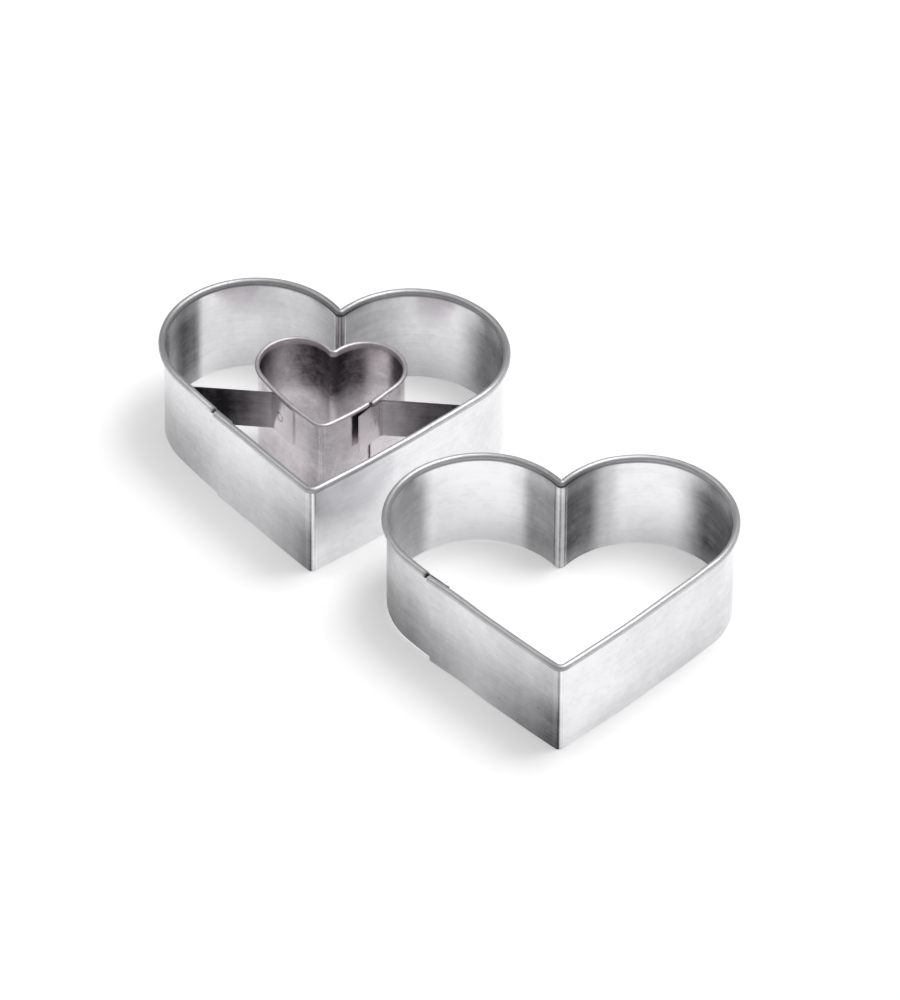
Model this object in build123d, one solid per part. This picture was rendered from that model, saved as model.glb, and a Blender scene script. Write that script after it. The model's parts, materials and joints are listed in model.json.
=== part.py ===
from build123d import *
import math
import os
from collections import namedtuple

# A pair of heart-shaped cookie cutters of bent tinplate, for biscuits that are sandwiched with jam.
# The window cutter is a large heart with a small heart held inside it by two straps.
# The plain cutter is the same large heart, left open, for the lower biscuit.
# Lengths are in millimetres and angles in degrees. +Z is up, and the cutting edges stand on Z = 0.
# Each heart is drawn about the middle of the line between its lobes' centres, with its tip towards -Y.

# The large hearts
heart_width = 60.0          # over the walls' outer faces, lobe to lobe
heart_height = 19.7         # from the cutting edge to the top of the rolled rim
band_sheet = 0.3            # thickness of the tinplate strip
band_bead_radius = 0.62     # outside radius of the rolled rim
band_tip_bend = 1.0         # radius of the tip's fold, at the wall's outer face
band_cleft_bend = 0.7       # radius of the fold between the lobes, at the wall's outer face
lobe_end_angle = -40.7      # where a lobe runs into a side, seen from the lobe's centre
lobe_radius_share = 0.2714  # of the heart's width
side_radius_share = 6.4     # of the heart's width: the sides bow out only a little

# The small heart in the window cutter
small_width = 25.8          # over the walls' outer faces
small_sheet = 0.3
small_bead_radius = 0.4
small_tip_bend = 1.8
small_cleft_bend = 0.8
small_lobe_end_angle = -35.4
small_lobe_radius_share = 0.265
small_side_radius_share = 2.31
small_setback = 5.4         # its lobes' centres lie this much nearer the tip than the large heart's

# The rolled rim
curl_gap = 0.05             # between the curled edge and the wall under it

# The lap where a strip's two ends are welded
lap_run = 10.0              # length over which the outer end leaves the outline, before the seam
lap_tuck_run = 4.5          # the same for the inner end, which has only the rest of the side
lap_overlap = 4.0           # how far the inner end runs on behind the outer one
lap_notch = 0.9             # gap in the rim, where the inner end's curl stops before the seam
lap_rise_share = 1.0        # how far the outer end stands out at the seam, in sheet thicknesses
lap_sink_share = 0.3        # how far the inner end is set in at the seam, in sheet thicknesses
plain_seam_share = 0.84     # from the tip's fold to the seam, of the side's length
window_seam_share = 0.683
plain_skew = 0.45           # how much the strip's lower edge has risen at the far side of the left lobe
window_skew = 0.12
small_lap_run = 5.0
small_lap_overlap = 3.0
small_lap_notch = 0.5
small_lap_sink_share = 0.5
small_seam_share = 0.595

# The straps between the two hearts
strap_sheet = 0.3
strap_height = 8.0
strap_top_drop = 1.0        # from the top of the rim down to the straps' upper edge
strap_setback = 2.0         # the straps lie this much nearer the tip than the lobes' ends
strap_bend = 1.0            # radius of a strap's folds, at the middle of its sheet
inner_tab_length = 5.4      # flat end that lies on the small heart
outer_tab_length = 6.0      # flat end that lies on the large heart

# The spot welds
seat_clearance = 0.02       # between a tab and the wall that it lies on
nugget_radius = 0.9         # fused metal of one weld
nugget_depth_share = 0.5    # how far a weld reaches into a sheet, in sheet thicknesses
weld_mark_radius = 1.1      # ring that the welding tip presses into a tab
weld_mark_width = 0.35
weld_mark_depth = 0.07
inner_weld_inset = 1.7      # from the fold to the weld, along an inner tab
outer_weld_inset = 3.0      # the same, along an outer tab
lap_weld_height_shares = (0.25, 0.7)       # of the strip's height
small_weld_height_shares = (0.2, 0.42)     # of the strip's height, below the strap's tab

# How the two cutters stand side by side
window_turn = -5.0          # the window cutter stands slightly turned against the plain one
stand_apart_shares = (0.664, -0.749)       # from the window cutter to the plain one, of the heart's width


# One round stretch of a wall, at the wall's outer face, seen from above. The radius is negative
# where the wall bows inwards, so that its centre lies outside the heart.
Arc = namedtuple("Arc", "x y radius start end")
Lap = namedtuple("Lap", "seam outer_run inner_run overlap notch rise sink outer_from_tip")


class Heart:
    """The right half of a heart's outline: cleft fold, lobe, side and tip fold, tangent to each other."""

    def __init__(self, width, lobe_share, side_share, lobe_end, tip_bend, cleft_bend):
        self.width = width
        lobe_radius = lobe_share * width
        side_radius = side_share * width
        spread = width / 2 - lobe_radius
        end = math.radians(lobe_end)
        side_x = spread - (side_radius - lobe_radius) * math.cos(end)
        side_y = -(side_radius - lobe_radius) * math.sin(end)
        tip_y = side_y - math.sqrt((side_radius - tip_bend) ** 2 - side_x ** 2)
        tip_end = math.degrees(math.atan2(tip_y - side_y, -side_x))
        cleft_y = math.sqrt((lobe_radius + cleft_bend) ** 2 - spread ** 2)
        lobe_start = math.degrees(math.atan2(cleft_y, -spread))
        self.lobe_end_y = lobe_radius * math.sin(end)
        self.cleft = Arc(0, cleft_y, -cleft_bend, lobe_start - 180, -90)
        self.lobe = Arc(spread, 0, lobe_radius, lobe_end, lobe_start)
        self.side = Arc(side_x, side_y, side_radius, tip_end, lobe_end)
        self.tip = Arc(0, tip_y, tip_bend, -90, tip_end)
        self.side_length = math.radians(lobe_end - tip_end) * side_radius

    def shifted(self, setback):
        """The same outline, moved towards the tip."""
        moved = Heart.__new__(Heart)
        moved.__dict__.update(self.__dict__)
        moved.lobe_end_y = self.lobe_end_y - setback
        for name in ("cleft", "lobe", "side", "tip"):
            arc = getattr(self, name)
            setattr(moved, name, arc._replace(y=arc.y - setback))
        return moved


def part_of(arc, first, last):
    """The stretch of a side between two distances from its lower end."""
    turn = math.degrees(1 / arc.radius)
    return arc._replace(start=arc.start + first * turn, end=arc.start + last * turn)


def leaving(side, station, run, rise, way, first, last):
    """An arc that leaves a side at a station and stands out by rise after run.

    way is 1 towards the lobe and -1 towards the tip. first and last are distances from the station.
    """
    radius = 1 / (1 / side.radius - 2 * rise / run ** 2)
    angle = side.start + math.degrees(station / side.radius)
    out_x = math.cos(math.radians(angle))
    out_y = math.sin(math.radians(angle))
    x = side.x + (side.radius - radius) * out_x
    y = side.y + (side.radius - radius) * out_y
    start = angle if radius > 0 else angle + 180
    turn = way * math.degrees(1 / radius)
    return Arc(x, y, radius, start + first * turn, start + last * turn)


def point_on(arc, angle, offset):
    """A point at an angle of an arc, moved outwards by offset, with the outward direction."""
    side = math.copysign(1, arc.radius)
    away = (math.cos(math.radians(angle)), math.sin(math.radians(angle)))
    reach = abs(arc.radius) + side * offset
    return (arc.x + reach * away[0], arc.y + reach * away[1]), (side * away[0], side * away[1])


def mirrored(arc):
    """The same arc on the left half, run the other way, so that a path can go on through it."""
    return arc._replace(x=-arc.x, start=180 - arc.end, end=180 - arc.start)


def backwards(arc):
    return arc._replace(start=arc.end, end=arc.start)


def edge_of(arc):
    return CenterArc((arc.x, arc.y, 0), abs(arc.radius), arc.start, arc.end - arc.start)


def upright_at(edge, end):
    """Upright plane at the start (0) or end (1) of a path's edge. Its X axis points out of the heart."""
    ahead = edge % end
    return Plane(origin=edge @ end, x_dir=(ahead.Y, -ahead.X, 0), z_dir=(-ahead.X, -ahead.Y, 0))


def carried(profile, edges):
    """Carries an upright profile along a path that goes anticlockwise round the heart."""
    return sweep(upright_at(edges[0], 0) * profile, path=Wire(edges))


def flat_profile(inner, outer, low, high):
    """A plain upright strip between two offsets from the wall's outer face."""
    return make_face(Polyline((inner, low), (outer, low), (outer, high), (inner, high), close=True))


def rolled_profile(sheet, bead_radius, height):
    """A strip whose upper edge is curled outwards and down, flush with its inner face."""
    hollow = bead_radius - sheet
    bead_height = height - bead_radius
    curl_turn = 180 + math.degrees(math.acos((curl_gap - hollow) / bead_radius))

    def on_bead(reach, turned):
        angle = math.radians(180 - turned)
        return (hollow + reach * math.cos(angle), bead_height + reach * math.sin(angle))

    outline = Polyline(on_bead(bead_radius, 0), (-sheet, 0), (0, 0), on_bead(hollow, 0))
    outline += ThreePointArc(on_bead(hollow, 0), on_bead(hollow, curl_turn / 2), on_bead(hollow, curl_turn))
    outline += Line(on_bead(hollow, curl_turn), on_bead(bead_radius, curl_turn))
    outline += ThreePointArc(
        on_bead(bead_radius, curl_turn), on_bead(bead_radius, curl_turn / 2), on_bead(bead_radius, 0)
    )
    return make_face(outline)


def cleft_fold(heart, profile, sheet, height):
    """The fold between the lobes. The rim is pinched there, so it stops at the fold's own centre."""
    arc = heart.cleft
    reach = abs(arc.radius) + sheet
    room = Pos(reach / 2 - sheet, height / 2) * Rectangle(reach, height)
    start = upright_at(edge_of(mirrored(arc)), 1)
    centre = Axis((arc.x, arc.y, 0), (0, 0, 1))
    return revolve(start * (profile & room), axis=centre, revolution_arc=2 * (arc.start - arc.end))


def beyond_cleft(heart, way):
    """The space past the middle, which a lobe's rim gives up to the other lobe's."""
    reach = heart.width
    return Pos(way * reach / 2, heart.cleft.y, 0) * Box(reach, reach / 2, 2 * reach)


def lap_arcs(heart, lap):
    """The arcs of a lap's outer end, its inner end and the tongue behind the outer end."""
    way = 1 if lap.outer_from_tip else -1
    run = lap.inner_run
    outer_from = lap.seam - way * lap.outer_run
    inner_from = lap.seam + way * run
    outer = leaving(heart.side, outer_from, lap.outer_run, lap.rise, way, 0, lap.outer_run)
    inner = leaving(heart.side, inner_from, run, -lap.sink, -way, 0, run - lap.notch)
    tongue = leaving(heart.side, inner_from, run, -lap.sink, -way, run - lap.notch, run + lap.overlap)
    return outer, inner, tongue, outer_from, inner_from


def lapped_band(heart, lap, sheet, bead_radius, height, skew):
    """A whole heart of one bent strip, with its seam in the right side."""
    rolled = rolled_profile(sheet, bead_radius, height)
    outer, inner, tongue, outer_from, inner_from = lap_arcs(heart, lap)
    low_from, high_from = sorted((outer_from, inner_from))
    low_end, high_end = (outer, inner) if lap.outer_from_tip else (inner, outer)
    left_half = [mirrored(heart.lobe), mirrored(heart.side), mirrored(heart.tip)]
    first_run = left_half + [heart.tip, part_of(heart.side, 0, low_from), low_end]
    last_run = [backwards(high_end), part_of(heart.side, high_from, heart.side_length), heart.lobe]
    first = carried(rolled, [edge_of(arc) for arc in first_run]) - beyond_cleft(heart, 1)
    last = carried(rolled, [edge_of(arc) for arc in last_run]) - beyond_cleft(heart, -1)
    flat = flat_profile(-sheet, 0, 0, height - bead_radius)
    if lap.outer_from_tip:
        last = last + carried(flat, [edge_of(backwards(tongue))])
    else:
        first = first + carried(flat, [edge_of(tongue)])
    fold = cleft_fold(heart, rolled, sheet, height)
    return first + fold + skewed(last, heart, skew)


def skewed(lobe_part, heart, rise):
    """Cuts the lower edge of a right lobe so that it has risen at its far side."""
    if not rise:
        return lobe_part
    reach = heart.width / 2
    wedge = make_face(Polyline((0, 0), (reach, rise), (reach, -rise), (0, -rise), close=True))
    return lobe_part - extrude(Plane.XZ * wedge, amount=heart.width, both=True)


def slug(point, outwards, height, first, last):
    """A round slug that runs outwards from offset first to offset last."""
    base = (point[0] + first * outwards[0], point[1] + first * outwards[1], height)
    seat = Plane(origin=base, z_dir=(outwards[0], outwards[1], 0))
    return extrude(seat * Circle(nugget_radius), amount=last - first)


def ring_mark(point, outwards, height, face_offset):
    """The ring that a welding tip presses into a face."""
    depth_at = face_offset - weld_mark_depth
    base = (point[0] + depth_at * outwards[0], point[1] + depth_at * outwards[1], height)
    seat = Plane(origin=base, z_dir=(outwards[0], outwards[1], 0))
    ring = Circle(weld_mark_radius) - Circle(weld_mark_radius - weld_mark_width)
    return extrude(seat * ring, amount=2 * weld_mark_depth)


def lap_nuggets(heart, lap, sheet, height, height_shares):
    """The welds in the middle of a lap's overlap, drawn on the right half."""
    way = 1 if lap.outer_from_tip else -1
    back = lap.overlap / 2
    outer_out = lap.rise * ((lap.outer_run - back) / lap.outer_run) ** 2
    inner_in = lap.sink * ((lap.inner_run + back) / lap.inner_run) ** 2
    angle = heart.side.start + math.degrees((lap.seam - way * back) / heart.side.radius)
    point, outwards = point_on(heart.side, angle, 0)
    deep = nugget_depth_share * sheet
    return [
        slug(point, outwards, share * height, -inner_in - deep, outer_out - sheet + deep)
        for share in height_shares
    ]


def fold_angle(arc, radius, line_y, bend_radius, inwards):
    """Centre of the fold from the line Y = line_y on to an arc, and the arc's angle where it ends.

    inwards is 1 where the tab turns towards the tip and -1 where it turns towards the lobe.
    """
    centre_y = line_y - inwards * bend_radius
    reach = abs(radius + inwards * bend_radius)
    centre_x = arc.x + math.copysign(1, radius) * math.sqrt(reach ** 2 - (centre_y - arc.y) ** 2)
    return centre_x, centre_y, math.degrees(math.atan2(centre_y - arc.y, centre_x - arc.x))


def strap(large, small_arc, band_inner):
    """A right-hand strap with its two tabs, its two weld places and its weld marks."""
    top = heart_height - strap_top_drop
    low = top - strap_height
    mid = (low + top) / 2
    line_y = large.lobe_end_y - strap_setback
    half = strap_sheet / 2
    thin = flat_profile(-half, half, low, top)

    # The inner tab runs towards the tip, on the small heart's outer face.
    tab = small_arc._replace(radius=small_arc.radius + seat_clearance + half)
    near_x, near_y, near_end = fold_angle(tab, tab.radius, line_y, strap_bend, 1)
    near_turn = -math.degrees(1 / tab.radius)
    inner_tab = tab._replace(start=near_end, end=near_end + inner_tab_length * near_turn)
    near_out = near_end if tab.radius < 0 else near_end + 180
    near_fold = Arc(near_x, near_y, strap_bend, 90, near_out)

    # The outer tab runs towards the lobe, on the large heart's inner face.
    seat = large.side._replace(radius=large.side.radius - band_inner - seat_clearance - half)
    far_x, far_y, far_end = fold_angle(seat, seat.radius, line_y, strap_bend, -1)
    far_fold = Arc(far_x, far_y, strap_bend, -90, far_end)
    side_stretch = math.radians(large.side.end - far_end) * seat.radius
    outer_tab = seat._replace(start=far_end, end=large.side.end)
    lobe_seat = large.lobe._replace(radius=large.lobe.radius - band_inner - seat_clearance - half)
    lobe_turn = math.degrees((outer_tab_length - side_stretch) / lobe_seat.radius)
    lobe_tab = lobe_seat._replace(start=large.side.end, end=large.side.end + lobe_turn)

    path = [edge_of(backwards(inner_tab)), edge_of(backwards(near_fold))]
    path += [Line((near_x, line_y), (far_x, line_y))]
    path += [edge_of(far_fold), edge_of(outer_tab), edge_of(lobe_tab)]
    body = carried(thin, path)

    near_angle = near_end + inner_weld_inset * near_turn
    near_weld, near_way = point_on(tab, near_angle, 0)
    far_angle = large.side.end + math.degrees((outer_weld_inset - side_stretch) / lobe_seat.radius)
    far_weld, far_way = point_on(lobe_seat, far_angle, 0)
    body = body - ring_mark(near_weld, near_way, mid, half)
    body = body - ring_mark(far_weld, (-far_way[0], -far_way[1]), mid, half)
    return body, (near_weld, near_way, mid), (far_weld, far_way, mid)


def left_hand(piece):
    return mirror(piece, about=Plane.YZ)


def cut_all(piece, tools):
    for tool in tools:
        piece = piece - tool
    return piece


large_heart = Heart(
    heart_width, lobe_radius_share, side_radius_share, lobe_end_angle, band_tip_bend, band_cleft_bend
)
small_heart = Heart(
    small_width,
    small_lobe_radius_share,
    small_side_radius_share,
    small_lobe_end_angle,
    small_tip_bend,
    small_cleft_bend,
).shifted(small_setback)


def large_band(seam_share, skew):
    """A large heart with its seam in the left side, and the welds of its lap."""
    seam = seam_share * large_heart.side_length
    rise, sink = lap_rise_share * band_sheet, lap_sink_share * band_sheet
    lap = Lap(seam, lap_run, lap_tuck_run, lap_overlap, lap_notch, rise, sink, True)
    band = lapped_band(large_heart, lap, band_sheet, band_bead_radius, heart_height, skew)
    welds = lap_nuggets(large_heart, lap, band_sheet, heart_height, lap_weld_height_shares)
    return left_hand(band), [left_hand(weld) for weld in welds]


def small_band():
    """The small heart with its seam in the right side, under the strap's tab, and its lap's welds."""
    seam = small_seam_share * small_heart.side_length
    rise, sink = lap_rise_share * small_sheet, small_lap_sink_share * small_sheet
    lap = Lap(seam, small_lap_run, small_lap_run, small_lap_overlap, small_lap_notch, rise, sink, False)
    band = lapped_band(small_heart, lap, small_sheet, small_bead_radius, heart_height, 0)
    welds = lap_nuggets(small_heart, lap, small_sheet, heart_height, small_weld_height_shares)
    return band, welds, lap_arcs(small_heart, lap)[0]


# The window cutter
window_band, window_band_welds = large_band(window_seam_share, window_skew)
small_heart_band, small_band_welds, lap_outer = small_band()

left_strap, left_near, left_far = strap(large_heart, small_heart.side, band_sheet)
right_strap, right_near, right_far = strap(large_heart, lap_outer, band_sheet)

# A weld reaches from the middle of the tab to the middle of the sheet under it. On the right the
# small heart's lap lies under the tab, so that weld goes on through both ends of the lap.
tab_part = nugget_depth_share * strap_sheet - strap_sheet / 2
under_tab = -strap_sheet / 2 - seat_clearance
small_depth = under_tab - nugget_depth_share * small_sheet
lap_depth = under_tab - small_sheet * (1 + small_lap_sink_share + nugget_depth_share)
band_depth = strap_sheet / 2 + seat_clearance + nugget_depth_share * band_sheet
left_welds = [slug(*left_near, small_depth, tab_part), slug(*left_far, -tab_part, band_depth)]
right_welds = [slug(*right_near, lap_depth, tab_part), slug(*right_far, -tab_part, band_depth)]
left_welds = [left_hand(weld) for weld in left_welds]
strap_welds = left_welds + right_welds

left_strap = cut_all(left_hand(left_strap), left_welds)
right_strap = cut_all(right_strap, right_welds)
window_band = cut_all(window_band, window_band_welds + strap_welds)
small_heart_band = cut_all(small_heart_band, small_band_welds + strap_welds)

# The plain cutter
plain_band, plain_band_welds = large_band(plain_seam_share, plain_skew)
plain_band = cut_all(plain_band, plain_band_welds)

# Both cutters, with the origin under the middle of the pair
window_place = Rot(0, 0, window_turn)
plain_place = Pos(stand_apart_shares[0] * heart_width, stand_apart_shares[1] * heart_width, 0)
pieces = {
    "window_cutter_band": window_place * window_band,
    "small_heart_band": window_place * small_heart_band,
    "left_bridge_strap": window_place * left_strap,
    "right_bridge_strap": window_place * right_strap,
    "strap_weld_nuggets": window_place * Compound(strap_welds),
    "window_band_weld_nuggets": window_place * Compound(window_band_welds),
    "small_heart_weld_nuggets": window_place * Compound(small_band_welds),
    "plain_cutter_band": plain_place * plain_band,
    "plain_band_weld_nuggets": plain_place * Compound(plain_band_welds),
}
pair_box = pieces["window_cutter_band"].bounding_box().add(pieces["plain_cutter_band"].bounding_box())
to_origin = Pos(-pair_box.center().X, -pair_box.center().Y, -pair_box.min.Z)

os.makedirs("parts", exist_ok=True)
for name, piece in pieces.items():
    export_step(to_origin * piece, f"parts/{name}.step")
print("pair", pair_box.size, "moved by", to_origin.position)
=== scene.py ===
import json
import math

import bmesh
import bpy
from bpy.props import FloatProperty, FloatVectorProperty, IntProperty, PointerProperty, StringProperty
from mathutils import Matrix, Vector

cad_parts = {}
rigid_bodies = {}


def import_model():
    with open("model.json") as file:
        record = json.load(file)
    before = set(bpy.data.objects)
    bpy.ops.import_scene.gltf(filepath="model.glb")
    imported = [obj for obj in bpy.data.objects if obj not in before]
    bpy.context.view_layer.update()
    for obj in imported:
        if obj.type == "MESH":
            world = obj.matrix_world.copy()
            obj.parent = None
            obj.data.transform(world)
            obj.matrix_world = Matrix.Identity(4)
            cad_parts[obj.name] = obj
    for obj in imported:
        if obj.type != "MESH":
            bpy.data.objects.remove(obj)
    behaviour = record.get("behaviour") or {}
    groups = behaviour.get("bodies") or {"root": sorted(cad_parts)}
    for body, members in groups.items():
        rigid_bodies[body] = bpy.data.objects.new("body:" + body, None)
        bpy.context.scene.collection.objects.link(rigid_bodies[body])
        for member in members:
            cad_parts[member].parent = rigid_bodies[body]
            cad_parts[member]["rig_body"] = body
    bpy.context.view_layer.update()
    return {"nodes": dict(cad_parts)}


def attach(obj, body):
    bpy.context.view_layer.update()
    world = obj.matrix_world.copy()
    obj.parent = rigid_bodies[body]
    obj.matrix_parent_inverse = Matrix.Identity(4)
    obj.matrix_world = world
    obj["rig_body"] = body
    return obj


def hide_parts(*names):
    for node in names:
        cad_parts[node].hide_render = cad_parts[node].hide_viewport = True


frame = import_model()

bl_info = {
    "name": "Heart cookie cutters",
    "version": (1, 0, 0),
    "blender": (4, 5, 0),
    "location": "3D View > Sidebar > Cutters",
    "description": "A pair of heart cookie cutters of bent tinplate, one with a small heart on straps",
    "category": "Object",
}

MM = 0.001

# Plain names for two kinds of node
MATH = "ShaderNodeMath"
RAMP = "ShaderNodeValToRGB"


# Sizes and colours


def length_property(name, description, default):
    return FloatProperty(name=name, description=description, default=default, unit="LENGTH")


def angle_property(name, description, degrees):
    return FloatProperty(name=name, description=description, default=math.radians(degrees), unit="ROTATION")


def share_property(name, description, default):
    return FloatProperty(name=name, description=description, default=default, subtype="FACTOR", min=0, max=1)


def power_property(name, description, default):
    return FloatProperty(name=name, description=description, default=default, unit="POWER")


def place_property(name, description, default):
    return FloatVectorProperty(name=name, description=description, default=default, size=2, unit="LENGTH")


def colour_property(name, description, default):
    return StringProperty(name=name, description=description, default=default)


class CutterSizes(bpy.types.PropertyGroup):
    """Sizes of the two large hearts, the small heart and their rims."""

    heart_width: length_property("Heart width", "Over the walls' outer faces", 60 * MM)
    heart_height: length_property("Heart height", "From the cutting edge to the rim's top", 19.7 * MM)
    sheet: length_property("Sheet", "Thickness of the tinplate", 0.3 * MM)
    rim_radius: length_property("Rim radius", "Outside radius of the rolled rim", 0.62 * MM)
    rim_gap: length_property("Rim gap", "Between the curled edge and the wall", 0.05 * MM)
    small_width: length_property("Small heart width", "Over the small heart's outer faces", 25.8 * MM)
    small_rim_radius: length_property("Small rim radius", "Outside radius of the small rim", 0.4 * MM)
    small_setback: length_property("Small heart setback", "How far it lies towards the tip", 5.4 * MM)
    ripple: length_property("Ripple", "How far the hand-bent wall wanders in and out", 0.3 * MM)
    ripple_spacing: length_property("Ripple spacing", "From one wave of the wall to the next", 9 * MM)
    ripple_seed: IntProperty(name="Ripple seed", description="Picks another set of waves", default=4)
    path_step: length_property("Path step", "Distance between two sections of a wall", 0.4 * MM)
    window_place: place_property(
        "Window cutter's place", "Midway between its lobes' centres", (-19.946 * MM, 32.568 * MM)
    )
    window_turn: angle_property("Window cutter's turn", "Against the plain cutter", -5)
    plain_place: place_property(
        "Plain cutter's place", "Midway between its lobes' centres", (19.894 * MM, -12.372 * MM)
    )


class TinplateLook(bpy.types.PropertyGroup):
    """Colours of the tinned sheet and of the welds, as hex values, and how the tin shines."""

    band_pale: colour_property("Band, pale", "Clean bright tin", "#F2F2F4")
    # Painted reflections and shade in the bands, and cloudy patches, go towards this colour.
    band_dull_and_shade: colour_property("Band, dull", "Handled, greyer tin", "#444246")
    small_pale: colour_property("Small heart, pale", "Its cleaner tin", "#EAE3E7")
    # Painted reflections and shade in the small heart's bands, and its patches, go towards this colour.
    small_dull_and_shade: colour_property("Small heart, dull", "Its stained tin", "#443E42")
    strap_pale: colour_property("Strap, pale", "Clean strip", "#E2DADE")
    # Painted reflections and shade on the straps, and their patches, go towards this colour.
    strap_dull_and_shade: colour_property("Strap, dull", "Handled strip", "#2C2A2D")
    weld_dark: colour_property("Weld, dark", "Fused steel of a spot weld", "#6E6B6B")
    weld_pale: colour_property("Weld, pale", "Its brighter grains", "#8E8B8B")
    roughness: share_property("Roughness", "Of the large hearts' tin, neither clean nor dull", 0.2)
    gleam_spread: share_property("Gleam spread", "How far the lines draw a gleam out upright", 0.5)
    rim_softness: share_property("Rim softness", "Extra roughness of the rubbed rim", 0.28)
    cloudiness: share_property("Cloudiness", "How far the dull patches go to the dull colour", 0.11)
    weld_ring: length_property("Weld ring", "Radius of a weld's mark", 1.1 * MM)


class StageLook(bpy.types.PropertyGroup):
    """The floor, the lights and the camera."""

    floor_colour: colour_property("Floor", "Pale studio floor", "#F4F4F4")
    floor_glow: FloatProperty(name="Floor glow", description="Keeps the floor pale", default=0.33)
    room_level: FloatProperty(name="Room level", description="Even light from all round", default=0.26)
    key_power: power_property("Key light", "Soft lamp, back right", 2.9)
    key_bearing: angle_property("Key bearing", "From the right, turned to the back", 28)
    key_height: angle_property("Key height", "Above the floor", 66)
    key_size: length_property("Key size", "Width of the lamp", 380 * MM)
    fill_power: power_property("Fill light", "Soft lamp, back left", 0.6)
    fill_bearing: angle_property("Fill bearing", "From the right, turned to the back", 155)
    fill_height: angle_property("Fill height", "Above the floor", 50)
    fill_size: length_property("Fill size", "Width of the lamp", 300 * MM)
    top_power: power_property("Top light", "Wide lamp overhead", 1.0)
    top_size: length_property("Top size", "Width of the lamp", 500 * MM)
    lamp_distance: length_property("Lamp distance", "From the cutters", 800 * MM)
    camera_elevation: angle_property("Elevation", "Camera above the floor", 41.317)
    camera_turn: angle_property("Turn", "Camera round the cutters", 0.191)
    camera_roll: angle_property("Roll", "Tilt of the picture", 0.5695)
    camera_distance: length_property("Distance", "Camera to the point it looks at", 2150.4 * MM)
    camera_lens: FloatProperty(name="Lens", description="Focal length in millimetres", default=442.305)
    camera_target: place_property(
        "Target", "Point on the floor in the picture's middle", (0.613 * MM, 14.28 * MM)
    )


# A heart's outline: radii of the lobe and the side as shares of its width, the bearing where they meet,
# and the radii of the bends at the tip and the cleft
LARGE_OUTLINE = {
    "lobe_share": 0.2714, "side_share": 6.4, "lobe_end": math.radians(-40.7),
    "tip_bend": 1.0 * MM, "cleft_bend": 0.7 * MM,
}
SMALL_OUTLINE = {
    "lobe_share": 0.265, "side_share": 2.31, "lobe_end": math.radians(-35.4),
    "tip_bend": 1.8 * MM, "cleft_bend": 0.8 * MM,
}

# A lap: the runs in which its outer and inner ends leave the side's line, how far the tongue goes on
# behind the outer end, how far before the seam the inner end's rim stops, and how many sheets it sinks
LARGE_LAP = {
    "outer run": 10 * MM, "inner run": 4.5 * MM, "overlap": 4 * MM, "notch": 0.9 * MM, "sink": 0.3,
    "outer from tip": True, "on the left": True,
}
SMALL_LAP = {
    "outer run": 5 * MM, "inner run": 5 * MM, "overlap": 3 * MM, "notch": 0.5 * MM, "sink": 0.5,
    "outer from tip": False, "on the left": False,
}

# Where each seam lies, as a share of its side's length from the tip
WINDOW_SEAM = 0.683
PLAIN_SEAM = 0.84
SMALL_SEAM = 0.595

# How far the lower edge of one lobe rises at its far side
WINDOW_RISE = 0.12 * MM
PLAIN_RISE = 0.45 * MM

# How finely a strip's section and its tight bends are drawn
WALL_POINTS = 9
CURL_POINTS = 22
BEND_STEP = math.radians(9)

# Upright, the waves' pattern is squeezed to this share, so a wave is five times as high as it is wide.
WAVE_SQUASH = 0.2

# Shading is smooth across an edge that bends less than this.
SHARP_ANGLE = math.radians(32)

# Vertices this near are one, faces this near a strap's top are its upper edge, and vertices this near
# each other belong to one slug of weld metal.
MERGE_REACH = 0.0005 * MM
TOP_REACH = 0.01 * MM
SLUG_REACH = 3 * MM

# Sizes of the tin's pattern. Real rolling lines are near 0.1 mm apart, drawn as coarse as shows here.
BLOTCH_SIZE = 1.4 * MM
LINE_SPACING = 0.5 * MM
LINE_DEPTH = 0.01 * MM
SPECK_SIZE = 0.9 * MM
WELD_GRAIN = 0.3 * MM

# Level, the lines' pattern is squeezed to this share, so they are long. The bump's strength follows.
LINE_SQUASH = 0.06
LINE_STRENGTH = 0.1

# How gently the outside's bands of painted shade give way to the inside's, as a cosine
FACE_BLEND = 0.3

# Clean and dull tin against a strip's own roughness
CLEAN_SHARE = 0.85
DULL_SHARE = 1.5

# Where the rim starts, and the painted shade on the lower part of its curl, by the share of the heart's
# height
RIM_START = [(0.93, 0.0), (0.95, 1.0)]
RIM_CURL_SHADE = [(0.94, 1.0), (0.953, 1.0), (0.97, 0.6), (1.0, 0.5)]

# A weld's mark from its middle to twice its radius, and a Map Range's inputs that make it uneven
# A ring's dark is the weld's own mark and painted shade for its pressed-in groove.
WELD_RING = [(0.3, 0.08), (0.38, 0.6), (0.44, 0.6), (0.52, 0.0), (0.6, 0.0)]
WELD_BITE = {1: 0.46, 2: 0.56, 3: 0.1, 4: 1.0}

# How far a fold's line reaches to each side, as a share of the strip's length, and how strong it is
# A fold's line is painted shade on one side and a painted highlight on the other.
FOLD_REACH = 0.015
FOLD_STRENGTH = 0.75

# The top lamp hangs a little to the right of straight overhead.
TOP_HEIGHT = math.radians(85)

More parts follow.
